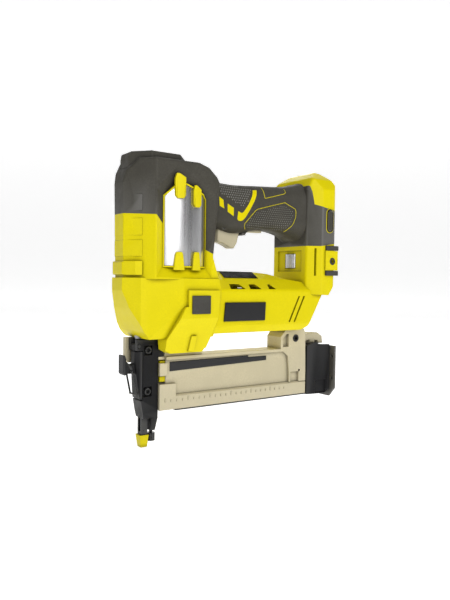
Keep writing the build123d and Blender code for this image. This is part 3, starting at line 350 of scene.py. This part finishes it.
def dress_frame():
    """Give every CAD node its slot's material and rounded edges."""
    for part in frame["record"]["subparts"]:
        obj = frame["nodes"][part["node"]]
        obj.data.materials.clear()
        obj.data.materials.append(MATERIALS[VARIANTS.get(part["node"], part["material_slot"])])
        soften(obj, ROUNDING.get(part["node"]))


# ---------------------------------------------------------------- pieces laid on a CAD surface
def surface_of(*nodes):
    """One search tree over the meshes of some CAD nodes."""
    points = []
    faces = []
    for name in nodes:
        mesh = frame["nodes"][name].data
        base = len(points)
        points += [vertex.co.copy() for vertex in mesh.vertices]
        faces += [[base + index for index in face.vertices] for face in mesh.polygons]
    return BVHTree.FromPolygons(points, faces)


def onto(tree, x, z, side, lift):
    """The point and normal where a line along Y first meets the surface, lifted off it. side is -1 left."""
    hit, normal, _, _ = tree.ray_cast(Vector((x, side * 0.06, z)), Vector((0, -side, 0)))
    if hit is None:
        return None, None
    if normal.y * side < 0:
        normal = -normal
    return hit + normal * lift, normal


def add_piece(name, mesh, slot, body, look=None):
    """Link a mesh as a piece with a slot's material, or a variant of it, riding on a body."""
    obj = bpy.data.objects.new(name, mesh)
    bpy.context.scene.collection.objects.link(obj)
    mesh.materials.append(MATERIALS[look or slot])
    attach(obj, body)
    return obj


CELL_PITCH = 1.6
PIPING_PITCH = 1.5
STUD_TAPER = 0.55


def inlay(name, outline, tree, side, lift, depth, slot):
    """A thin panel with an outline in X and Z (mm) that follows a surface."""
    mesh = bpy.data.meshes.new(name)
    form = bmesh.new()
    form.faces.new([form.verts.new((x * MM, 0, z * MM)) for x, z in outline])
    cut_inlay(form, outline, CELL_PITCH)
    for vertex in form.verts:
        point, _ = onto(tree, vertex.co.x, vertex.co.z, side, lift * MM)
        if point is not None:
            vertex.co = point
    bmesh.ops.recalc_face_normals(form, faces=form.faces)
    if sum(face.normal.y for face in form.faces) * side < 0:
        bmesh.ops.reverse_faces(form, faces=form.faces)
    form.to_mesh(mesh)
    form.free()
    obj = add_piece(name, mesh, slot, "housing")
    thick = obj.modifiers.new("Thickness", "SOLIDIFY")
    thick.thickness = depth * MM
    thick.offset = -1.0
    shade(obj)
    return obj


def cut_inlay(form, outline, pitch):
    """Slice a flat panel into small cells so that it can bend."""
    for axis in (0, 1):
        values = [point[axis] for point in outline]
        normal = (1, 0, 0) if axis == 0 else (0, 0, 1)
        count = int((max(values) - min(values)) / pitch)
        for step in range(1, count + 1):
            at = (min(values) + step * pitch) * MM
            place = (at, 0, 0) if axis == 0 else (0, 0, at)
            cells = form.verts[:] + form.edges[:] + form.faces[:]
            bmesh.ops.bisect_plane(form, geom=cells, plane_co=place, plane_no=normal)


def stepped(points, pitch):
    """Points along a run of straight pieces, at most pitch apart."""
    result = []
    for first, second in zip(points, points[1:]):
        count = max(1, int(math.dist(first, second) / pitch))
        for step in range(count):
            share = step / count
            result.append([a + (b - a) * share for a, b in zip(first, second)])
    return result + [list(points[-1])]


def piping(name, points, tree, side, radius, slot):
    """A thin raised line that follows a surface through points in X and Z (mm)."""
    places = []
    for x, z in stepped(points, PIPING_PITCH):
        point, _ = onto(tree, x * MM, z * MM, side, 0.0)
        if point is not None:
            places.append(point)
    return tube(name, places, radius, slot, "housing")


def tube(name, places, radius, slot, body):
    """A round rod of a radius in mm through points in metres, as a mesh."""
    curve = bpy.data.curves.new(name, "CURVE")
    curve.dimensions = "3D"
    curve.bevel_depth = radius * MM
    curve.bevel_resolution = 2
    curve.use_fill_caps = True
    line = curve.splines.new("POLY")
    line.points.add(len(places) - 1)
    for point, place in zip(line.points, places):
        point.co = (*place, 1.0)
    holder = bpy.data.objects.new(name + "_line", curve)
    mesh = bpy.data.meshes.new_from_object(holder)
    mesh.name = name
    bpy.data.objects.remove(holder)
    bpy.data.curves.remove(curve)
    mesh.materials.clear()
    obj = add_piece(name, mesh, slot, body)
    shade(obj)
    return obj


def inside(outline, x, z):
    """Whether a point lies in a closed outline."""
    crossings = 0
    for (x1, z1), (x2, z2) in zip(outline, outline[1:] + outline[:1]):
        if (z1 > z) != (z2 > z) and x < x1 + (z - z1) * (x2 - x1) / (z2 - z1):
            crossings += 1
    return crossings % 2 == 1


def studs(name, outline, tree, side, pitch, radius, height, slot):
    """A field of small flattened studs on a surface, in offset rows inside an outline (mm)."""
    form = bmesh.new()
    row_gap = pitch * math.sqrt(3) / 2
    low_x, high_x = min(p[0] for p in outline), max(p[0] for p in outline)
    low_z, high_z = min(p[1] for p in outline), max(p[1] for p in outline)
    for row in range(int((high_z - low_z) / row_gap) + 1):
        z = low_z + row * row_gap
        for column in range(int((high_x - low_x) / pitch) + 1):
            x = low_x + (column + 0.5 * (row % 2)) * pitch
            point, normal = onto(tree, x * MM, z * MM, side, 0.0)
            if point is not None and inside(outline, x, z):
                turn = normal.to_track_quat("Z", "Y").to_matrix().to_4x4()
                bmesh.ops.create_cone(form, cap_ends=True, segments=6, radius1=radius * MM,
                                      radius2=radius * STUD_TAPER * MM, depth=2 * height * MM,
                                      matrix=Matrix.Translation(point) @ turn)
    mesh = bpy.data.meshes.new(name)
    form.to_mesh(mesh)
    form.free()
    # The studs take the lighter grip colour, a painted highlight.
    return add_piece(name, mesh, slot, "housing", "grip_stud_highlight")


# ---------------------------------------------------------------- handle trim, outlines in X and Z (mm)
FRONT_SLASH = [(72.8, 242.2), (78.2, 239.3), (79.5, 231.0), (73.5, 233.2)]
SECOND_SLASH = [(83.7, 236.3), (91.7, 232.6), (91.6, 224.2), (83.8, 228.3)]
LONG_INLAY = [(115.6, 252.6), (120.6, 253.2), (119.2, 247.5), (117.0, 241.6), (111.2, 231.4), (106.6, 224.6),
          (103.4, 221.2), (100.5, 220.0), (97.5, 220.3), (96.2, 221.9), (97.3, 229.8), (98.6, 229.4),
          (101.0, 228.2), (103.4, 229.0), (106.7, 233.1), (110.2, 238.4), (113.4, 245.0)]
UPPER_LINE = [(128.4, 256.4), (129.6, 246.6), (130.4, 245.4), (132.2, 245.8), (155.4, 252.2), (157.8, 254.0),
              (157.6, 257.6)]
LOWER_LINE = [(108.2, 212.6), (105.6, 215.4), (105.9, 218.2), (118.4, 231.8), (121.2, 233.6), (156.0, 243.0),
              (167.9, 237.0), (169.0, 234.4), (168.7, 228.1), (165.8, 219.6), (160.4, 212.6)]
SCALE_FIELD = [(75, 255.5), (113.5, 254.5), (108.8, 240.5), (104, 233.8), (93.5, 238.5), (80.5, 243.6),
               (75, 245.5)]
DOT_FIELD = [(110.5, 214.5), (108.6, 218), (120.5, 230.6), (155.4, 240.2), (165.8, 235.0), (166.2, 229),
             (162.6, 219.8), (158.2, 214.5)]


INLAY_PROUD = 0.15
INLAY_DEPTH = 0.6
LINE_RADIUS = 0.32


def dress_handle():
    """Bright inlays, thin outlines and the textured fields on both sides of the handle."""
    grip = surface_of("left_grip", "right_grip")
    for side, word in ((-1, "left"), (1, "right")):
        for piece, outline in (("front_slash", FRONT_SLASH), ("second_slash", SECOND_SLASH),
                               ("long_inlay", LONG_INLAY)):
            inlay(f"{word}_{piece}", outline, grip, side, INLAY_PROUD, INLAY_DEPTH, "housing_plastic")
        for piece, points in (("upper_line", UPPER_LINE), ("lower_line", LOWER_LINE)):
            piping(f"{word}_{piece}", points, grip, side, LINE_RADIUS, "housing_plastic")
        studs(f"{word}_scale_field", SCALE_FIELD, grip, side, 2.7, 1.25, 0.4, "grip_rubber")
        studs(f"{word}_dot_field", DOT_FIELD, grip, side, 2.5, 0.85, 0.35, "grip_rubber")


# ---------------------------------------------------------------- foot trim, places in X and Z (mm)
BADGE_CENTRE = (204.0, 225.5)
BADGE_REACH = (4.9, 12.9)
HOOK_PLACE = (207.4, 181.8)
COLLAR_RADII = (2.05, 3.9)
COLLAR_PROUD = 0.3
BADGE_LINE_RADIUS = 0.45
BADGE_STEPS = 24
COLLAR_STEPS = 32


def badge_loop():
    """A pill outline round the blank foot badge, closed."""
    half_wide, half_tall = BADGE_REACH
    points = []
    for step in range(BADGE_STEPS + 1):
        angle = math.radians(360 * step / BADGE_STEPS)
        shift = math.copysign(half_tall - half_wide, math.sin(angle)) if step % (BADGE_STEPS // 2) else 0.0
        points.append((BADGE_CENTRE[0] + half_wide * math.cos(angle),
                       BADGE_CENTRE[1] + half_wide * math.sin(angle) + shift))
    return points


def collar(name, side):
    """The thin black collar round a belt-hook screw hole."""
    low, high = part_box("left_housing" if side < 0 else "right_housing")
    face_y = low.y if side < 0 else high.y
    ring = [(radius, lift) for lift in (-0.3, COLLAR_PROUD) for radius in COLLAR_RADII]
    ring = [ring[0], ring[1], ring[3], ring[2]]
    form = bmesh.new()
    loops = []
    for step in range(COLLAR_STEPS):
        angle = math.radians(360 * step / COLLAR_STEPS)
        loops.append([form.verts.new(((HOOK_PLACE[0] + radius * math.cos(angle)) * MM,
                                      face_y + side * lift * MM,
                                      (HOOK_PLACE[1] + radius * math.sin(angle)) * MM))
                      for radius, lift in ring])
    for first, second in zip(loops, loops[1:] + loops[:1]):
        for index in range(4):
            after = (index + 1) % 4
            form.faces.new((first[index], first[after], second[after], second[index]))
    bmesh.ops.recalc_face_normals(form, faces=form.faces)
    mesh = bpy.data.meshes.new(name)
    form.to_mesh(mesh)
    form.free()
    shade(add_piece(name, mesh, "black_steel", "housing"))


def dress_foot():
    """The bright line and dull face of each foot badge, and the collar of each belt-hook hole."""
    foot = surface_of("left_grip", "right_grip", "blank_plates")
    for side, word in ((-1, "left"), (1, "right")):
        piping(f"{word}_badge_line", badge_loop(), foot, side, BADGE_LINE_RADIUS, "housing_plastic")
        inlay(f"{word}_badge_face", badge_loop()[:-1], foot, side, 0.12, 0.4, "grip_rubber")
        collar(f"{word}_hook_collar", side)


# ---------------------------------------------------------------- magazine ruler
RULE_START = 18.0
RULE_STEP = 6.4
RULE_COUNT = 24
RULE_LOW = 42.5
RULE_TALL = (3.6, 2.0)
RULE_WIDE = 0.8
RULE_PROUD = 0.5


def dress_magazine():
    """The plain ruler ticks moulded along the magazine's lower ridge."""
    metal = surface_of("magazine_body")
    for side, word in ((-1, "left"), (1, "right")):
        form = bmesh.new()
        for step in range(RULE_COUNT):
            tall = RULE_TALL[0] if step % 4 == 0 else RULE_TALL[1]
            x = RULE_START + step * RULE_STEP
            point, _ = onto(metal, x * MM, (RULE_LOW + tall / 2) * MM, side, 0.0)
            if point is not None:
                size = Matrix.Diagonal((RULE_WIDE * MM, 2 * RULE_PROUD * MM, tall * MM, 1))
                bmesh.ops.create_cube(form, size=1.0, matrix=Matrix.Translation(point) @ size)
        mesh = bpy.data.meshes.new(f"{word}_rule")
        form.to_mesh(mesh)
        form.free()
        add_piece(f"{word}_rule", mesh, "sand_cast", "housing")


# ---------------------------------------------------------------- stage
def stage_material(name, colour, roughness, glow):
    material = bpy.data.materials.new(name)
    material.use_nodes = True
    shader = material.node_tree.nodes["Principled BSDF"]
    shader.inputs["Base Color"].default_value = (*colour, 1.0)
    shader.inputs["Roughness"].default_value = roughness
    shader.inputs["Emission Color"].default_value = (1.0, 1.0, 1.0, 1.0)
    shader.inputs["Emission Strength"].default_value = glow
    return material


FLOOR_REACH = 6.0
FLOOR_HALF_WIDTH = 16.0
BACKDROP_BEND = 2.0
BACKDROP_HEIGHT = 6.0
BEND_STEPS = 12
FLOOR_WHITE = (0.85, 0.85, 0.85)
FLOOR_GLOW = 0.69


def make_floor():
    """A plain pale floor that curves up into a backdrop far behind."""
    flat = FLOOR_REACH - BACKDROP_BEND
    profile = [(-FLOOR_REACH, 0.0), (flat, 0.0)]
    for step in range(1, BEND_STEPS + 1):
        angle = math.radians(90 * step / BEND_STEPS)
        profile.append((flat + BACKDROP_BEND * math.sin(angle), BACKDROP_BEND * (1 - math.cos(angle))))
    profile.append((FLOOR_REACH, BACKDROP_HEIGHT))
    mesh = bpy.data.meshes.new("floor")
    turn = Matrix.Rotation(CAMERA_TURN, 4, "Z")
    points = [turn @ Vector((side * FLOOR_HALF_WIDTH, along, up))
              for along, up in profile for side in (-1, 1)]
    faces = [(2 * i, 2 * i + 1, 2 * i + 3, 2 * i + 2) for i in range(len(profile) - 1)]
    mesh.from_pydata(points, [], faces)
    mesh.polygons.foreach_set("use_smooth", [True] * len(faces))
    floor = bpy.data.objects.new("floor", mesh)
    bpy.context.scene.collection.objects.link(floor)
    mesh.materials.append(stage_material("floor_paint", FLOOR_WHITE, 0.9, FLOOR_GLOW))
    floor.location.z = cad_box[0][2] - 0.2 * MM


def aim(obj, place, target):
    """Put an object at a place with its -Z axis towards a target."""
    back = (Vector(place) - Vector(target)).normalized()
    obj.matrix_world = Matrix.Translation(place) @ back.to_track_quat("Z", "Y").to_matrix().to_4x4()


AIM_POINT = (0.09, 0.0, 0.15)
ROOM_LIGHT = 0.06


def softbox(name, place, size, power):
    light = bpy.data.lights.new(name, "AREA")
    light.shape = "RECTANGLE"
    light.size, light.size_y = size
    light.energy = power
    obj = bpy.data.objects.new(name, light)
    bpy.context.scene.collection.objects.link(obj)
    aim(obj, place, AIM_POINT)


def make_lights():
    """Soft boxes in front, above and behind, in an evenly bright room."""
    softbox("key", (-0.35, -1.5, 0.9), (1.2, 1.0), 18)
    softbox("top", (0.1, 0.1, 1.6), (1.6, 1.2), 8)
    softbox("rim", (0.9, 1.2, 1.0), (1.0, 0.8), 8)
    world = bpy.data.worlds.new("room")
    bpy.context.scene.world = world
    world.use_nodes = True
    world.node_tree.nodes["Background"].inputs["Color"].default_value = (1.0, 1.0, 1.0, 1.0)
    world.node_tree.nodes["Background"].inputs["Strength"].default_value = ROOM_LIGHT


def make_camera():
    """The camera, seen from the tool's front left."""
    back = Vector((math.sin(CAMERA_TURN) * math.cos(CAMERA_PITCH),
                   -math.cos(CAMERA_TURN) * math.cos(CAMERA_PITCH), math.sin(CAMERA_PITCH)))
    level_right = Vector((0, 0, 1)).cross(back).normalized()
    level_up = back.cross(level_right)
    right = math.cos(CAMERA_ROLL) * level_right + math.sin(CAMERA_ROLL) * level_up
    up = back.cross(right)
    data = bpy.data.cameras.new("camera")
    data.lens = LENS
    camera = bpy.data.objects.new("camera", data)
    bpy.context.scene.collection.objects.link(camera)
    turn = Matrix((right, up, back)).transposed().to_4x4()
    camera.matrix_world = Matrix.Translation(CAMERA_PLACE) @ turn
    bpy.context.scene.camera = camera


# ---------------------------------------------------------------- build
dress_frame()
dress_handle()
dress_foot()
dress_magazine()
make_floor()
make_lights()
make_camera()
bpy.context.scene.view_settings.view_transform = "Standard"

bpy.context.view_layer.update()
